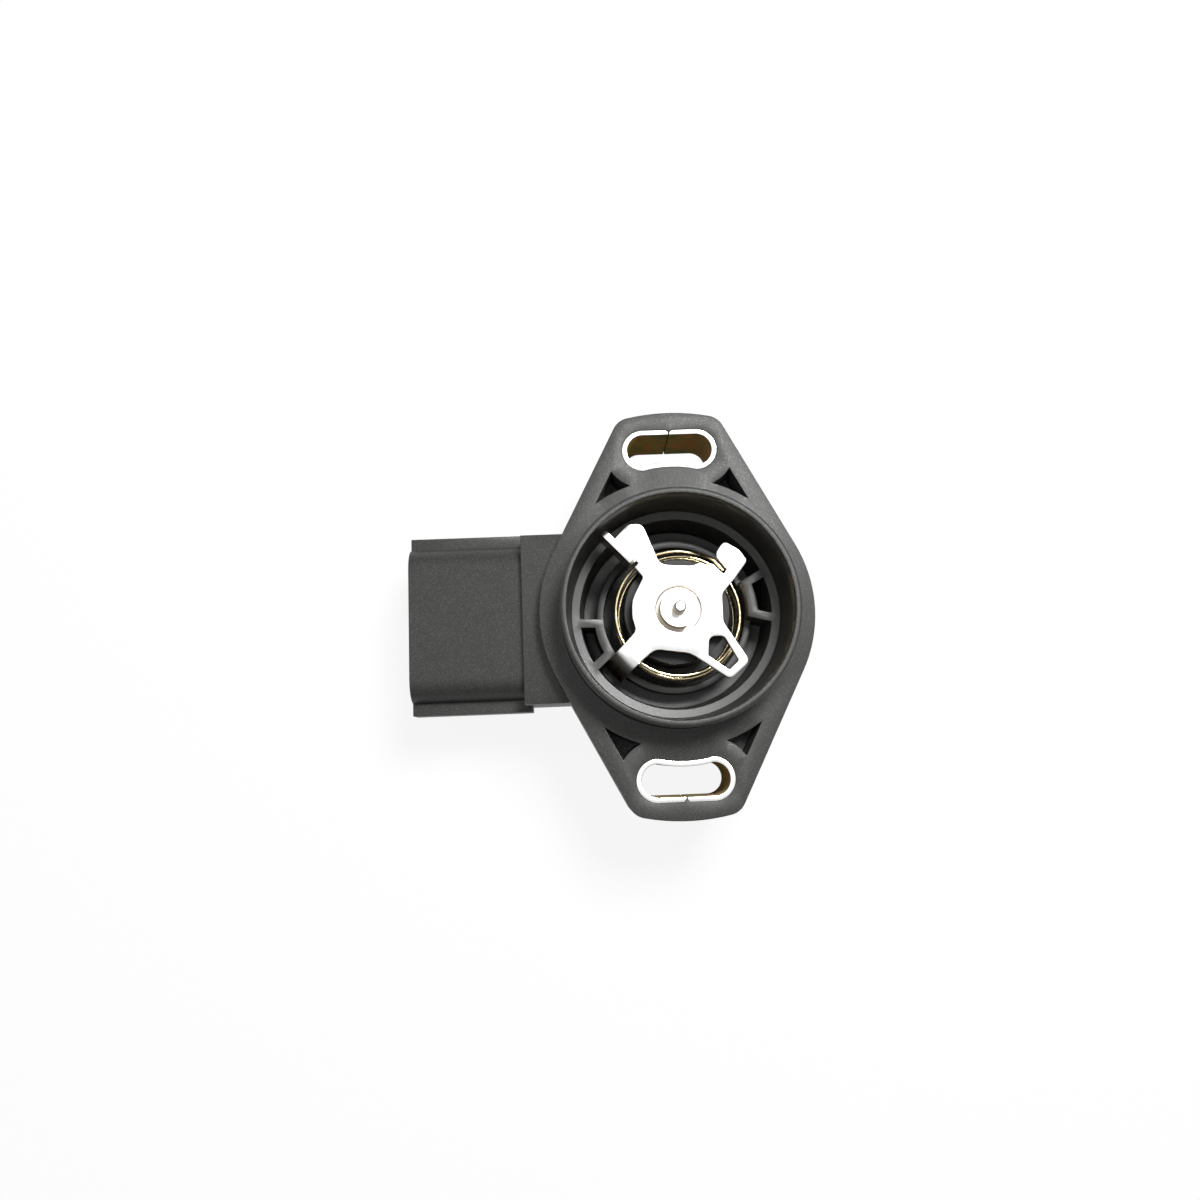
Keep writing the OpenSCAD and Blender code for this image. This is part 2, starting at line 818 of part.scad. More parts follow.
// Leaf contact: a foot under the carrier, a slope and a flat shoe that runs on its track
module leaf_contact(r) {
    leaf_t = 0.2;
    foot = 2.4;
    slope = 2.6;
    shoe = 0.9;
    drop = carrier_bottom - track_top - leaf_t;
    color("gold")
        rotate(blade_angle)
            translate([r + leaf_w / 2, -foot, 0])
                rotate([90, 0, -90])
                    linear_extrude(leaf_w)
                        polygon([
                            [foot, carrier_bottom],
                            [0, carrier_bottom],
                            [-slope, carrier_bottom - drop],
                            [-slope - shoe, carrier_bottom - drop],
                            [-slope - shoe, track_top],
                            [-slope, track_top],
                            [0, carrier_bottom - leaf_t],
                            [foot, carrier_bottom - leaf_t]]);
}

module track_wiper() leaf_contact(track_r);

module switch_wiper() leaf_contact(switch_r);

module resistor_board() {
    color("beige")
        translate([0, 0, board_bottom])
            linear_extrude(board_t)
                cover_outline(cover_land + board_gap);
}

function terminal_y(i) = (i - (terminal_count + 1) / 2) * terminal_pitch;

// Arcs round the axis, and a pad with a straight trace for each terminal
module resistor_tracks() {
    color("saddlebrown")
        translate([0, 0, -board_depth])
            linear_extrude(track_t) {
                for (r = [switch_r, track_r])
                    ring_sector(r + track_w / 2, r - track_w / 2, 180 - track_span / 2, 180 + track_span / 2);
                for (i = [1:terminal_count]) {
                    y = terminal_y(i);
                    reach = sqrt(track_r * track_r - y * y);
                    translate([-terminal_leg_x - pad_w / 2 - terminal_t / 2, y - pad_w / 2])
                        square([pad_w, pad_w]);
                    translate([-terminal_leg_x, y - 0.3])
                        square([terminal_leg_x - reach, 0.6]);
                }
            }
}

// Flat blade in the socket, run through the neck and bent down to its pad
module terminal_solid(i) {
    half = terminal_t / 2;
    point = 0.8;
    translate([0, terminal_y(i) + terminal_w / 2, 0])
        rotate([90, 0, 0])
            linear_extrude(terminal_w)
                polygon([
                    [-terminal_tip_x, terminal_z - half + 0.2],
                    [-terminal_tip_x + point, terminal_z - half],
                    [-terminal_leg_x - half, terminal_z - half],
                    [-terminal_leg_x - half, track_top],
                    [-terminal_leg_x + half, track_top],
                    [-terminal_leg_x + half, terminal_z + half],
                    [-terminal_tip_x + point, terminal_z + half],
                    [-terminal_tip_x, terminal_z + half - 0.2]]);
}

module terminal(i) {
    color("khaki")
        terminal_solid(i);
}

module seal_outline() {
    middle = cover_land / 2;
    difference() {
        cover_outline(middle - seal_cord / 2);
        cover_outline(middle + seal_cord / 2);
    }
}

module cover_seal() {
    color("black")
        translate([0, 0, cover_top])
            linear_extrude(seal_cord)
                seal_outline();
}

// Plate in the body's recess, with a rim that holds the board against its shoulder
module front_cover() {
    rim_w = 1.2;
    color(plastic) {
        translate([0, 0, -body_depth])
            linear_extrude(cover_t)
                cover_outline(cover_fit);
        translate([0, 0, cover_top - eps])
            linear_extrude(board_bottom - cover_top + eps)
                difference() {
                    cover_outline(cover_land + cover_fit);
                    cover_outline(cover_land + cover_fit + rim_w);
                }
    }
}

housing();
upper_slot_bush();
lower_slot_bush();
lever_plate();
rotor_shaft();
rotor_hub();
return_spring();
shaft_bearing();
thrust_washer();
shaft_seal();
wiper_carrier();
track_wiper();
switch_wiper();
retaining_clip();
resistor_board();
resistor_tracks();
for (i = [1:terminal_count]) terminal(i);
front_cover();
cover_seal();
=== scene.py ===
"""Finishes, soft edges, return spring and studio for a rotary throttle position sensor."""

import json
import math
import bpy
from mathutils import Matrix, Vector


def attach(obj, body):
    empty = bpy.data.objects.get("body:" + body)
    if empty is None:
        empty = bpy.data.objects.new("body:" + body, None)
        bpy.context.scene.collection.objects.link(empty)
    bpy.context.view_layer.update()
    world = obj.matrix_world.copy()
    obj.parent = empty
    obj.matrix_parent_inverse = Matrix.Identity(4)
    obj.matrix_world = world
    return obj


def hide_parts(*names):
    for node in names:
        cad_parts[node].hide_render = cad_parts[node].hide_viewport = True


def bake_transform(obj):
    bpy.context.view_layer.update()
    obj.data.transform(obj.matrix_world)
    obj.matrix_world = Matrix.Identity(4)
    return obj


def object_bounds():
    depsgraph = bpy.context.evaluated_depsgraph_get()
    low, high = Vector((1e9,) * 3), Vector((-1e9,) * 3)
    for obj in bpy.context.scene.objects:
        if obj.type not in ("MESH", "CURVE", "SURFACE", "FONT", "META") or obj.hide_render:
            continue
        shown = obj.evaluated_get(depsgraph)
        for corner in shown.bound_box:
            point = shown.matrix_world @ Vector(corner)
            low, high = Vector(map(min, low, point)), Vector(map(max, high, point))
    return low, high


bl_info = {
    "name": "Throttle Position Sensor",
    "version": (1, 0, 0),
    "blender": (4, 5, 0),
    "location": "3D View > Sidebar > Sensor",
    "description": "Finishes a rotary throttle position sensor and sets its studio",
    "category": "Object",
}

import bpy
from bpy.props import FloatProperty, FloatVectorProperty, IntProperty, PointerProperty
from mathutils import Vector

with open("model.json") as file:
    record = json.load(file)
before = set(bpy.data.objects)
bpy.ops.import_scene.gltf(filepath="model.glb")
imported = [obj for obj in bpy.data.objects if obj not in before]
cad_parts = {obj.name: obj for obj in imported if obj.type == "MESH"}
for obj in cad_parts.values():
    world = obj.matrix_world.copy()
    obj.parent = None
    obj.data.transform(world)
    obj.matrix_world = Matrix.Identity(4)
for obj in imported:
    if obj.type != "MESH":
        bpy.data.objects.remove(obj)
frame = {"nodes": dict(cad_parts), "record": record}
cad_low, cad_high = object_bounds()

MM = 0.001
DOUBLES = 0.001 * MM
SHARP_ANGLE = math.radians(38)
SMOOTH_ANGLE = math.radians(32)
WIRE_SMOOTH_ANGLE = math.radians(50)
WALL_SLOPE = 0.3
WHITE = (1, 1, 1)
FLOOR_SIZE = 6
SENSOR_WIDTH_MM = 36
FLOOR_GAP = 0.2 * MM


# ---- Settings ----


def length(name, description, default_mm):
    """A length property, given in millimetres."""
    return FloatProperty(name=name, description=description, default=default_mm * MM, unit="LENGTH", precision=5)


def colour(name, description, default):
    """A colour property, in linear values."""
    return FloatVectorProperty(
        name=name, description=description, default=default, size=3, subtype="COLOR", min=0, max=1
    )


class SensorSizes(bpy.types.PropertyGroup):
    """Sizes of the pieces that are modelled or softened here."""

    moulded_edge: length("Moulded edge", "Width of the worn edge on the housing and the cover", 0.12)
    pressed_edge: length("Pressed edge", "Width of the rolled edge on the lever plate", 0.14)
    bush_edge: length("Bush edge", "Width of the rolled edge on the slot bushes", 0.12)
    wire: length("Wire", "Diameter of the spring wire", 0.55)
    coil_radius: length("Coil radius", "Middle radius of the spring's coils", 9.34)
    coil_low: length("Coil low end", "Height of the coils' low end", -7.2)
    coil_high: length("Coil high end", "Height of the coils' high end", -1.3)
    coil_drift: length("Coil drift", "How far the middle coils lean to one side", 0.85)
    leg_height: length("Leg height", "Height of the end that lies in the lever's notch", 0.95)
    coil_turns: IntProperty(name="Turns", description="Full turns between the spring's two ends", default=5, min=1)
    coil_steps: IntProperty(name="Steps", description="Points in one turn of the spring", default=48, min=12)


class SensorColours(bpy.types.PropertyGroup):
    """Colours of the finishes."""

    plastic: colour("Plastic", "Glass-filled plastic of the housing", (0.032, 0.0323, 0.03))
    # Painted sparkle: a lighter colour for the glass ends that stands in for their glints. It also paints the
    # highlight on the rim's flash.
    painted_glint: colour("Glint", "Glass ends that shine in the plastic", (0.075, 0.075, 0.072))
    hub: colour("Hub", "Black plastic of the hub and the wiper carrier", (0.012, 0.012, 0.012))
    zinc: colour("Zinc", "Bright faces of the plated sheet", (0.9, 0.9, 0.885))
    # Wall colours of the plated sheet: partly the passivation's own tint, partly painted dark reflection on faces
    # that point sideways.
    olive: colour("Olive", "Passivated walls of the plated sheet", (0.31, 0.27, 0.12))
    rust_brown: colour("Brown", "Warmer patches on the passivated walls", (0.43, 0.26, 0.13))
    teal: colour("Teal", "Cooler patches on the passivated walls", (0.18, 0.24, 0.15))
    steel: colour("Steel", "Turned steel of the shaft and the washers", (0.78, 0.77, 0.74))
    # Painted shade: a brownish colour for the round sides of the shaft's head, which lie in shade.
    painted_side_shade: colour("Oil film", "Brownish film on the shaft's round sides", (0.4, 0.33, 0.24))
    straw: colour("Straw", "Drawn spring wire", (0.8, 0.68, 0.42))
    bronze: colour("Bronze", "Sintered bearing", (0.55, 0.36, 0.17))
    rubber: colour("Rubber", "Seals", (0.018, 0.018, 0.018))
    alloy: colour("Alloy", "Wiper contacts", (0.78, 0.6, 0.3))
    ceramic: colour("Ceramic", "Fired board", (0.78, 0.75, 0.67))
    ink: colour("Ink", "Printed tracks", (0.03, 0.022, 0.016))
    tin: colour("Tin", "Tinned terminals", (0.72, 0.7, 0.64))


class SensorStudio(bpy.types.PropertyGroup):
    """Camera and light."""

    camera_place: FloatVectorProperty(
        name="Camera place",
        description="Where the photograph was taken from",
        default=(-0.0148, -0.0215, 0.151),
        size=3,
        subtype="TRANSLATION",
        unit="LENGTH",
        precision=5,
    )
    camera_tilt: FloatVectorProperty(
        name="Camera tilt",
        description="Turn of the camera from looking straight down",
        default=(math.radians(8.9), math.radians(-0.88), math.radians(-2.24)),
        size=3,
        subtype="EULER",
    )
    lens: FloatProperty(name="Lens", description="Focal length on a 36 mm sensor, in millimetres", default=30.58)
    key_power: FloatProperty(name="Key", description="Power of the soft box above the part's top end", default=2.85)
    fill_power: FloatProperty(name="Fill", description="Power of the wide soft box on the other side", default=0.65)
    sky: FloatProperty(name="Sky", description="Strength of the room's light on the part", default=0.06)


# ---- Shader expressions ----


class Value:
    """A socket's value. Arithmetic on it adds the Math nodes to its tree."""

    def __init__(self, shader, socket):
        self.shader = shader
        self.socket = socket

    def _math(self, operation, *values):
        return self.shader.node("ShaderNodeMath", {"operation": operation}, dict(enumerate(values))).out(0)

    def __add__(self, other):
        return self._math("ADD", self, other)

    def __radd__(self, other):
        return self._math("ADD", other, self)

    def __sub__(self, other):
        return self._math("SUBTRACT", self, other)

    def __rsub__(self, other):
        return self._math("SUBTRACT", other, self)

    def __mul__(self, other):
        return self._math("MULTIPLY", self, other)

    def __rmul__(self, other):
        return self._math("MULTIPLY", other, self)

    def __pow__(self, other):
        return self._math("POWER", self, other)

    def __gt__(self, other):
        return self._math("GREATER_THAN", self, other)

    def __abs__(self):
        return self._math("ABSOLUTE", self)

    def rise(self, low, high):
        """0 below low, 1 above high, and smooth between them."""
        return self.shader.node(
            "ShaderNodeMapRange",
            {"interpolation_type": "SMOOTHSTEP"},
            {"Value": self, "From Min": low, "From Max": high},
        ).out("Result")

    def band(self, middle, half, soft):
        """1 within half of middle, and 0 past soft more."""
        return 1 - abs(self - middle).rise(half, half + soft)


class Made:
    """A node that was added, with its outputs as values."""

    def __init__(self, shader, node):
        self.shader = shader
        self.node = node

    def out(self, key):
        return Value(self.shader, self.node.outputs[key])


class Nodes:
    """A node tree under construction."""

    def __init__(self, tree):
        self.tree = tree

    def feed(self, socket, value):
        """Links a value into a socket, or sets a constant on it."""
        if isinstance(value, Value):
            self.tree.links.new(value.socket, socket)
        else:
            wide = socket.type == "RGBA" and len(value) == 3
            socket.default_value = (*value, 1) if wide else value

    def node(self, kind, settings=None, inputs=None):
        """Adds a node of a type, with its settings and then the values or links of its inputs."""
        node = self.tree.nodes.new(kind)
        for key, value in (settings or {}).items():
            setattr(node, key, value)
        for key, value in (inputs or {}).items():
            self.feed(node.inputs[key], value)
        return Made(self, node)

    def axes(self, vector):
        parts = self.node("ShaderNodeSeparateXYZ", inputs={0: vector})
        return [parts.out(axis) for axis in "XYZ"]

    def blend(self, amount, first, second):
        """One shader or another by amount."""
        return self.node("ShaderNodeMixShader", inputs={0: amount, 1: first, 2: second}).out(0)

    def seen(self):
        """1 where the camera, a reflection or a clear material looks, and 0 for light that spreads."""
        path = self.node("ShaderNodeLightPath")
        sight = path.out("Is Camera Ray") + path.out("Is Glossy Ray") + path.out("Is Transmission Ray")
        return self.node("ShaderNodeMath", {"operation": "MINIMUM"}, {0: sight, 1: 1.0}).out(0)


class Finish(Nodes):
    """A material under construction: a Principled shader and what feeds it."""

    def __init__(self, name, **constants):
        self.material = bpy.data.materials.new(name)
        self.material.use_nodes = True
        super().__init__(self.material.node_tree)
        self.surface = self.tree.nodes["Principled BSDF"]
        for key, value in constants.items():
            self.set(key.title(), value)

    def set(self, name, value):
        """A constant on the shader's own socket, or a link into it."""
        self.feed(self.surface.inputs[name], value)

    def place(self):
        """The point on the piece, in millimetres."""
        point = self.node("ShaderNodeTexCoord").out("Object")
        return self.node("ShaderNodeVectorMath", {"operation": "SCALE"}, {0: point, "Scale": 1 / MM}).out(0)

    def facing_up(self):
        """How far the surface faces along the rotor's axis: 1 up, 0 sideways, -1 down."""
        return self.axes(self.node("ShaderNodeNewGeometry").out("True Normal"))[2]

    def noise(self, place, scale, detail=2.0, roughness=0.5, stretch=None):
        """Noise from 0 to 1, with scale grains in a millimetre."""
        if stretch:
            place = self.node("ShaderNodeVectorMath", {"operation": "MULTIPLY"}, {0: place, 1: stretch}).out(0)
        return self.node(
            "ShaderNodeTexNoise",
            inputs={"Vector": place, "Scale": scale, "Detail": detail, "Roughness": roughness},
        ).out("Fac")

    def specks(self, place, scale, share, size):
        """Small round specks in a share of the cells, with scale cells in a millimetre."""
        cells = self.node("ShaderNodeTexVoronoi", inputs={"Vector": place, "Scale": scale})
        lot = self.axes(cells.out("Color"))[0]
        return (lot > 1 - share) * (1 - cells.out("Distance").rise(size * 0.5, size))

    def mix(self, amount, first, second):
        """One colour or another by amount."""
        return self.node(
            "ShaderNodeMix", {"data_type": "RGBA"}, {"Factor": amount, "A": first, "B": second}
        ).out("Result")

    def shade(self, tint, amount):
        """A colour made darker or lighter by amount."""
        return self.node("ShaderNodeVectorMath", {"operation": "SCALE"}, {0: tint, "Scale": amount}).out(0)

    def bump(self, height, depth_mm, strength):
        """Feeds the shader's normal with a relief of that depth."""
        relief = self.node(
            "ShaderNodeBump", inputs={"Height": height, "Distance": depth_mm * MM, "Strength": strength}
        )
        self.set("Normal", relief.out("Normal"))


# ---- Finishes ----


def plastic_finish(colours):
    """Dark grey glass-filled plastic: a grain of lighter glass ends in a painted sparkle colour, smoother in the
    spigot, with mould flash on its rim painted as a bright highlight.
    """
    spigot_radius, flash_radius = 17.7, 16.8
    cup_floor, rim_top = -9.9, 5.8
    f = Finish("glass_filled_plastic")
    f.set("Specular IOR Level", 0.45)
    point = f.place()
    x, y, z = f.axes(point)
    radius = (x * x + y * y) ** 0.5
    grain = f.noise(point, 2.6, detail=4, roughness=0.75)
    clouds = f.noise(point, 0.35, detail=3)
    in_spigot = 1 - radius.rise(spigot_radius, spigot_radius + 0.2)
    smooth = in_spigot * z.rise(cup_floor, cup_floor + 0.4) * (1 - z.rise(rim_top - 0.4, rim_top))
    # Glass ends, partly lighter in their own colour and partly painted sparkle; fewer in the smooth spigot.
    specks = f.specks(point, 5.4, 0.4, 0.5) * (1 - 0.75 * smooth)
    # Painted highlight: the mould flash along the rim's inner edge is partly real, and lit up here in the painted
    # sparkle colour.
    flash = f.noise(point, 2.2, detail=4, roughness=0.7).rise(0.48, 0.6)
    rim = z.rise(rim_top - 0.1, rim_top + 0.1) * flash * radius.band(flash_radius, 0.1, 0.12)
    tone = 0.3 + 0.4 * clouds + grain
    base = f.mix(specks, f.shade(colours.plastic, tone), colours.painted_glint)
    f.set("Base Color", f.mix(0.8 * rim, base, colours.painted_glint))
    f.set("Roughness", 0.5 - 0.12 * smooth + 0.12 * (grain - 0.5) - 0.15 * specks)
    f.bump(grain + 0.25 * specks, 0.02, 0.75)
    return f.material


def hub_finish(colours):
    """Smooth black moulded plastic."""
    f = Finish("black_moulded_plastic")
    f.set("Specular IOR Level", 0.25)
    point = f.place()
    cloud = f.noise(point, 0.8, detail=2)
    f.set("Base Color", f.shade(colours.hub, 0.75 + 0.5 * cloud))
    f.set("Roughness", 0.34 + 0.12 * cloud)
    f.bump(f.noise(point, 6, detail=2), 0.006, 0.5)
    return f.material


def wall_tint_and_painted_reflection(f, colours, point):
    """The mottled brown, olive and teal of the plated sheet's cut walls, partly the passivation's tint and partly
    painted dark reflection.
    """
    warm = f.noise(point, 0.42, detail=3).rise(0.42, 0.56)
    cool = f.noise(point, 0.5, detail=3, stretch=(1, 1, 2)).rise(0.5, 0.64)
    return f.mix(0.7 * cool, f.mix(warm, colours.olive, colours.rust_brown), colours.teal)


def zinc_finish(name, colours, tint):
    """Bright plated sheet, white on its flat faces and tinted on the walls partly by passivation and partly as
    painted dark reflection, with fine brushing.
    """
    f = Finish(name, metallic=1.0)
    point = f.place()
    brushed = f.noise(point, 2.0, detail=3, stretch=(0.5, 3.5, 1))
    worn = f.noise(point, 0.7, detail=4, roughness=0.6)
    flat = abs(f.facing_up()).rise(0.35, 0.75)
    bright = f.shade(colours.zinc, 0.93 + 0.1 * worn)
    walls = f.mix(1 - tint, wall_tint_and_painted_reflection(f, colours, point), colours.zinc)
    # Painted reflection: walls take the darker tint and flat faces stay white, by which way each face points.
    f.set("Base Color", f.mix(flat, walls, bright))
    f.set("Roughness", 0.24 + 0.12 * worn + 0.1 * (brushed - 0.5))
    f.bump(brushed, 0.004, 0.5)
    return f.material


def wall_tint_and_reflection_finish(colours):
    """The dull passivated coat inside the slot bushes, partly its own tint and partly painted dark reflection."""
    f = Finish("passivated_film_and_painted_reflection")
    f.set("Specular IOR Level", 0.0)
    point = f.place()
    f.set("Base Color", wall_tint_and_painted_reflection(f, colours, point))
    f.set("Roughness", 0.45 + 0.2 * f.noise(point, 0.8, detail=3))
    f.bump(f.noise(point, 2.5, detail=3), 0.004, 0.5)
    return f.material


def turned_finish(name, tint, side_shade):
    """Turned metal with rings round the rotor's axis, and painted brownish shade on its round sides."""
    f = Finish(name, metallic=1.0)
    point = f.place()
    x, y, _ = f.axes(point)
    radius = (x * x + y * y) ** 0.5
    tool_marks = 42
    rings = f.node("ShaderNodeMath", {"operation": "SINE"}, {0: tool_marks * radius}).out(0)
    worn = f.noise(point, 1.6, detail=4, roughness=0.6)
    flat = abs(f.facing_up()).rise(0.35, 0.75)
    # Painted shade: the round sides take the brownish shade colour, and the flat faces take the steel.
    f.set("Base Color", f.mix(flat, side_shade, f.shade(tint, 0.86 + 0.2 * worn)))
    f.set("Roughness", 0.26 + 0.16 * worn)
    f.bump(0.5 * rings + worn, 0.003, 0.5)
    return f.material


def wire_finish(colours):
    """Drawn spring wire with a straw tint, rougher in patches, and painted shade that darkens those patches on the
    lower coils inside the cup.
    """
    f = Finish("drawn_spring_wire", metallic=1.0)
    point = f.place()
    height = f.axes(point)[2]
    patches = f.noise(point, 0.5, detail=3).rise(0.4, 0.75)
    low = 1 - height.rise(-6.5, -1.5)
    shaded_straw = f.shade(colours.straw, 0.55)
    # Painted shade: patches on the lower coils, inside the cup, made darker.
    f.set("Base Color", f.mix(0.6 * low * patches, colours.straw, shaded_straw))
    f.set("Roughness", 0.2 + 0.16 * patches)
    f.bump(f.noise(point, 9, detail=1), 0.002, 0.4)
    return f.material


def plain_metal_finish(name, tint, grain, rough):
    """Metal that isn't turned: a contact alloy, tin or bronze."""
    f = Finish(name, metallic=1.0)
    point = f.place()
    mottle = f.noise(point, grain, detail=4, roughness=0.6)
    f.set("Base Color", f.shade(tint, 0.8 + 0.3 * mottle))
    f.set("Roughness", rough + 0.14 * mottle)
    f.bump(mottle, 0.003, 0.5)
    return f.material


def dull_finish(name, tint, grain, rough, relief):
    """Rubber, ceramic or printed ink."""
    f = Finish(name)
    point = f.place()
    mottle = f.noise(point, grain, detail=4, roughness=0.6)
    f.set("Base Color", f.shade(tint, 0.82 + 0.32 * mottle))
    f.set("Roughness", rough + 0.12 * mottle)
    f.bump(mottle, relief, 0.6)
    return f.material


# ---- Modelling ----


def only(piece):
    """Leaves object mode's selection with one piece in it."""
    if bpy.context.object and bpy.context.object.mode != "OBJECT":
        bpy.ops.object.mode_set(mode="OBJECT")
    bpy.ops.object.select_all(action="DESELECT")
    piece.select_set(True)
    bpy.context.view_layer.objects.active = piece


def coat(piece, material):
    """Puts one material in all the piece's slots."""
    if not piece.material_slots:
        piece.data.materials.append(material)
    for slot in piece.material_slots:
        slot.material = material


def coat_nodes(material, *names):
    for name in names:
        coat(frame["nodes"][name], material)


def coat_walls(piece, material):
    """Puts a second material on the faces that stand along the rotor's axis."""
    piece.data.materials.append(material)
    for face in piece.data.polygons:
        if abs(face.normal.z) < WALL_SLOPE:
            face.material_index = len(piece.data.materials) - 1


def softened(node, name, edge):
    """A merged copy of a CAD node with its sharp edges rounded, which stands for the node."""
    cad = frame["nodes"][node]
    piece = bpy.data.objects.new(name, cad.data.copy())
    bpy.context.scene.collection.objects.link(piece)
    only(piece)
    bpy.ops.object.mode_set(mode="EDIT")
    bpy.ops.mesh.select_all(action="SELECT")
    bpy.ops.mesh.remove_doubles(threshold=DOUBLES)
    bpy.ops.object.mode_set(mode="OBJECT")
    bpy.ops.mesh.customdata_custom_splitnormals_clear()
    bevel = piece.modifiers.new("Soft edge", "BEVEL")
    bevel.width = edge
    bevel.segments = 2
    bevel.limit_method = "ANGLE"
    bevel.angle_limit = SHARP_ANGLE
    bevel.use_clamp_overlap = False
    bevel.loop_slide = False
    bpy.ops.object.modifier_apply(modifier=bevel.name)
    bpy.ops.object.shade_smooth_by_angle(angle=SMOOTH_ANGLE)
    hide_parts(node)
    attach(piece, body_of(node))
    return piece


def body_of(node):
    for body, names in frame["record"]["behaviour"]["bodies"].items():
        if node in names:
            return body
    raise RuntimeError(f"{node} is on no body")


def round_about(angle, radius, height):
    turn = math.radians(angle)
    return Vector((radius * math.cos(turn), radius * math.sin(turn), height))


def spring_line(sizes):
    """Points of the wire's middle line, from the slot in the ring wall up to the lever's notch."""
    slot_angle, foot_angle = 36.0, 33.0
    first, last, leg_turn = 29.0, 75.0, 24.0
    leg_steps = 12
    turning = 360.0 * sizes.coil_turns + first - last
    count = math.ceil(turning / 360 * sizes.coil_steps)
    lean = round_about(-50, 1, 0)
    line = [
        round_about(slot_angle, 11.71 * MM, sizes.coil_low),
        round_about(slot_angle, 10.42 * MM, sizes.coil_low),
        round_about(foot_angle, sizes.coil_radius + 0.35 * MM, sizes.coil_low),
    ]
    for k in range(count + 1):
        t = k / count
        drift = sizes.coil_drift * min(1, 4 * (1 - t)) * min(1, 6 * t)
        height = sizes.coil_low + (sizes.coil_high - sizes.coil_low) * t
        line.append(round_about(first - turning * t, sizes.coil_radius, height) + lean * drift)
    for k in range(1, leg_steps + 1):
        t = k / leg_steps
        height = sizes.coil_high + (sizes.leg_height - sizes.coil_high) * t * t * (3 - 2 * t)
        line.append(round_about(last - leg_turn * t, sizes.coil_radius - 0.14 * MM * t, height))
    notch = Vector((7.03 * MM, 5.71 * MM, sizes.leg_height))
    return [*line, notch]


# ---- Operators ----


class SENSOR_OT_housing(bpy.types.Operator):
    """Soften the moulded housing and its cover, and give them their plastic"""

    bl_idname = "sensor.housing"
    bl_label = "Housing and Cover"

    def execute(self, context):
        sizes, colours = context.scene.sensor_sizes, context.scene.sensor_colours
        plastic = plastic_finish(colours)
        coat(softened("housing", "housing_moulding", sizes.moulded_edge), plastic)
        coat(softened("front_cover", "cover_plate", sizes.moulded_edge), plastic)
        return {"FINISHED"}


class SENSOR_OT_bushes(bpy.types.Operator):
    """Soften the two slot bushes and give them their plating"""

    bl_idname = "sensor.bushes"
    bl_label = "Slot Bushes"

    def execute(self, context):
        sizes, colours = context.scene.sensor_sizes, context.scene.sensor_colours
        zinc = zinc_finish("plated_bush", colours, tint=1.0)
        walls = wall_tint_and_reflection_finish(colours)
        for node in ("upper_slot_bush", "lower_slot_bush"):
            bush = softened(node, f"{node}_rolled", sizes.bush_edge)
            coat(bush, zinc)
            # The walls get the material with painted dark reflection.
            coat_walls(bush, walls)
        return {"FINISHED"}


class SENSOR_OT_lever(bpy.types.Operator):
    """Soften the pressed lever plate and give it its plating"""

    bl_idname = "sensor.lever"
    bl_label = "Lever Plate"

    def execute(self, context):
        sizes, colours = context.scene.sensor_sizes, context.scene.sensor_colours
        lever = softened("lever_plate", "lever_pressing", sizes.pressed_edge)
        coat(lever, zinc_finish("plated_lever", colours, tint=0.75))
        return {"FINISHED"}


class SENSOR_OT_spring(bpy.types.Operator):
    """Wind the return spring round its middle line, in place of the CAD one"""

    bl_idname = "sensor.spring"
    bl_label = "Return Spring"

    def execute(self, context):
        sizes, colours = context.scene.sensor_sizes, context.scene.sensor_colours
        bpy.ops.object.select_all(action="DESELECT")
        bpy.ops.curve.primitive_nurbs_path_add(radius=1)
        wire = context.object
        wire.name = "spring_wire_coil"
        line = spring_line(sizes)
        curve = wire.data
        curve.splines.clear()
        spline = curve.splines.new("POLY")
        spline.points.add(len(line) - 1)
        for point, place in zip(spline.points, line):
            point.co = (*place, 1)
        curve.dimensions = "3D"
        curve.bevel_depth = sizes.wire / 2
        curve.bevel_resolution = 3
        curve.use_fill_caps = True
        bpy.ops.object.convert(target="MESH")
        piece = context.object
        bpy.ops.object.mode_set(mode="EDIT")
        bpy.ops.mesh.select_all(action="SELECT")
        bpy.ops.mesh.remove_doubles(threshold=DOUBLES)
        bpy.ops.mesh.normals_make_consistent(inside=False)
        bpy.ops.object.mode_set(mode="OBJECT")
        bpy.ops.object.shade_smooth_by_angle(angle=WIRE_SMOOTH_ANGLE)
        coat(piece, wire_finish(colours))
        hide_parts("return_spring")
        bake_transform(piece)
        return {"FINISHED"}


class SENSOR_OT_turned_parts(bpy.types.Operator):
    """Give the shaft, hub, washer, clip and bearing their finishes"""

    bl_idname = "sensor.turned_parts"
    bl_label = "Shaft, Hub and Bearing"

    def execute(self, context):
        colours = context.scene.sensor_colours
        steel = turned_finish("turned_steel", colours.steel, colours.painted_side_shade)
        coat_nodes(steel, "rotor_shaft", "thrust_washer", "retaining_clip")
        coat_nodes(turned_finish("sintered_bronze", colours.bronze, colours.bronze), "shaft_bearing")
        coat_nodes(hub_finish(colours), "rotor_hub", "wiper_carrier")
        return {"FINISHED"}


class SENSOR_OT_inner_works(bpy.types.Operator):
    """Give the seals, contacts, board, tracks and terminals their finishes"""

    bl_idname = "sensor.inner_works"
    bl_label = "Inner Works"

    def execute(self, context):
        colours = context.scene.sensor_colours
        coat_nodes(dull_finish("seal_rubber", colours.rubber, 1.5, 0.6, 0.01), "shaft_seal", "cover_seal")
        coat_nodes(plain_metal_finish("contact_alloy", colours.alloy, 2.0, 0.22), "track_wiper", "switch_wiper")
        coat_nodes(dull_finish("board_ceramic", colours.ceramic, 2.5, 0.5, 0.006), "resistor_board")
        coat_nodes(dull_finish("printed_track", colours.ink, 3.0, 0.4, 0.004), "resistor_tracks")
        terminals = [name for name in frame["nodes"] if name.startswith("terminal_")]
        coat_nodes(plain_metal_finish("terminal_tin", colours.tin, 1.2, 0.2), *terminals)
        return {"FINISHED"}


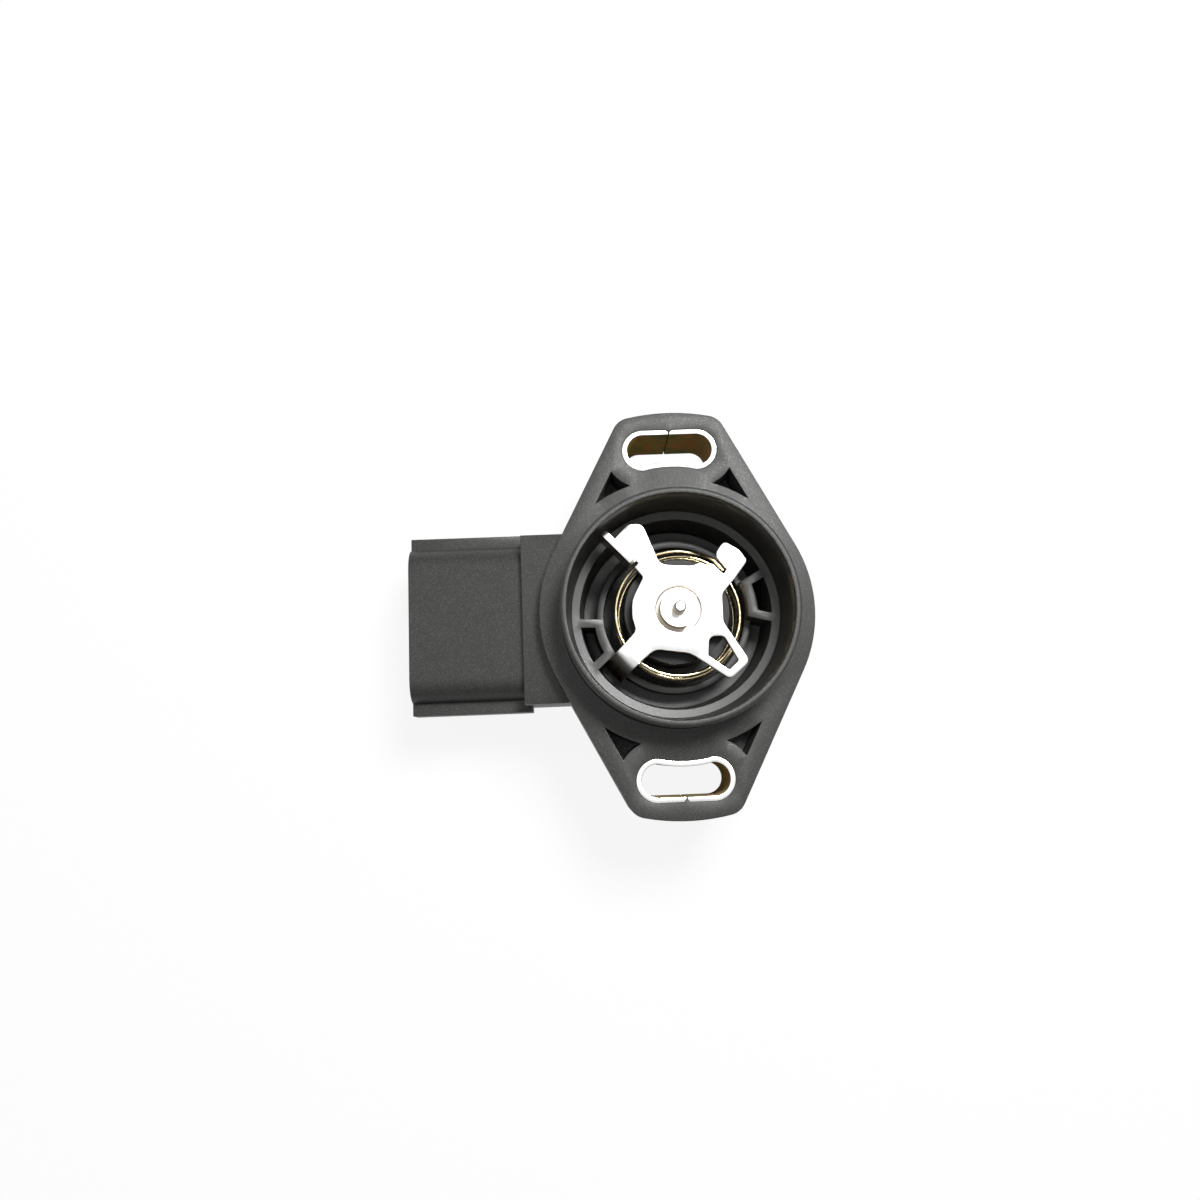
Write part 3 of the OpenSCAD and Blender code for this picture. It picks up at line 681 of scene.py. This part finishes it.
class SENSOR_OT_studio(bpy.types.Operator):
    """Set the floor, the room's light, two soft boxes and the camera"""

    bl_idname = "sensor.studio"
    bl_label = "Studio"

    def execute(self, context):
        studio = context.scene.sensor_studio
        self.floor()
        self.room(context.scene, studio.sky)
        self.soft_box("key_light", (0.12, 0.19, 0.4), size=0.15, power=studio.key_power)
        self.soft_box("fill_light", (-0.4, 0.1, 0.6), size=0.6, power=studio.fill_power)
        bpy.ops.object.camera_add(location=studio.camera_place, rotation=studio.camera_tilt)
        camera = context.object
        camera.data.sensor_width = SENSOR_WIDTH_MM
        camera.data.lens = studio.lens
        camera.data.clip_start = 0.005
        camera.data.clip_end = 100
        context.scene.camera = camera
        context.scene.view_settings.view_transform = "Standard"
        return {"FINISHED"}

    def floor(self):
        bpy.ops.object.select_all(action="DESELECT")
        bpy.ops.mesh.primitive_plane_add(size=FLOOR_SIZE, location=(0, 0, cad_low.z - FLOOR_GAP))
        floor = bpy.context.object
        floor.name = "studio_floor"
        f = Finish("pale_floor", roughness=0.9)
        f.set("Base Color", (0.35, 0.35, 0.35))
        glow = f.node("ShaderNodeEmission", inputs={"Color": WHITE, "Strength": 1.2}).out(0)
        top = f.blend(0.75 * f.seen(), Made(f, f.surface).out(0), glow)
        below = f.node("ShaderNodeNewGeometry").out("Backfacing")
        clear = f.node("ShaderNodeBsdfTransparent").out(0)
        f.feed(f.tree.nodes["Material Output"].inputs["Surface"], f.blend(below, top, clear))
        coat(floor, f.material)

    def room(self, scene, strength):
        """Weak even light, with white behind the part and a ceiling that metal reflects."""
        world = bpy.data.worlds.new("studio_room")
        world.use_nodes = True
        scene.world = world
        room = Nodes(world.node_tree)
        height = room.axes(room.node("ShaderNodeTexCoord").out("Generated"))[2]
        overhead = room.node(
            "ShaderNodeMapRange",
            {"interpolation_type": "SMOOTHSTEP"},
            {"Value": height, "From Min": 0.35, "From Max": 0.85, "To Min": 0.1},
        ).out("Result")
        spread, white, ceiling = (
            room.node("ShaderNodeBackground", inputs={"Color": tint, "Strength": amount}).out(0)
            for tint, amount in ((WHITE, strength), (WHITE, 1.0), ((0.8, 0.8, 0.8), overhead))
        )
        reflected = room.node("ShaderNodeLightPath").out("Is Glossy Ray")
        view = room.blend(room.seen(), spread, room.blend(reflected, white, ceiling))
        room.feed(room.tree.nodes["World Output"].inputs["Surface"], view)

    def soft_box(self, name, place, size, power):
        bpy.ops.object.light_add(type="AREA", location=place)
        lamp = bpy.context.object
        lamp.name = name
        lamp.data.shape = "SQUARE"
        lamp.data.size = size
        lamp.data.energy = power
        lamp.rotation_euler = Vector(place).to_track_quat("Z", "Y").to_euler()


OPERATORS = (
    SENSOR_OT_housing,
    SENSOR_OT_bushes,
    SENSOR_OT_lever,
    SENSOR_OT_spring,
    SENSOR_OT_turned_parts,
    SENSOR_OT_inner_works,
    SENSOR_OT_studio,
)


class SENSOR_PT_sidebar(bpy.types.Panel):
    """Lists the sensor's operators"""

    bl_label = "Throttle Position Sensor"
    bl_idname = "SENSOR_PT_sidebar"
    bl_space_type = "VIEW_3D"
    bl_region_type = "UI"
    bl_category = "Sensor"

    def draw(self, context):
        for operator in OPERATORS:
            self.layout.operator(operator.bl_idname)


CLASSES = (SensorSizes, SensorColours, SensorStudio, *OPERATORS, SENSOR_PT_sidebar)


def register():
    for cls in CLASSES:
        bpy.utils.register_class(cls)
    bpy.types.Scene.sensor_sizes = PointerProperty(type=SensorSizes)
    bpy.types.Scene.sensor_colours = PointerProperty(type=SensorColours)
    bpy.types.Scene.sensor_studio = PointerProperty(type=SensorStudio)


def unregister():
    del bpy.types.Scene.sensor_studio
    del bpy.types.Scene.sensor_colours
    del bpy.types.Scene.sensor_sizes
    for cls in reversed(CLASSES):
        bpy.utils.unregister_class(cls)


def main():
    """Makes the whole scene."""
    register()
    bpy.ops.sensor.housing()
    bpy.ops.sensor.bushes()
    bpy.ops.sensor.lever()
    bpy.ops.sensor.spring()
    bpy.ops.sensor.turned_parts()
    bpy.ops.sensor.inner_works()
    bpy.ops.sensor.studio()


if __name__ == "__main__":
    main()
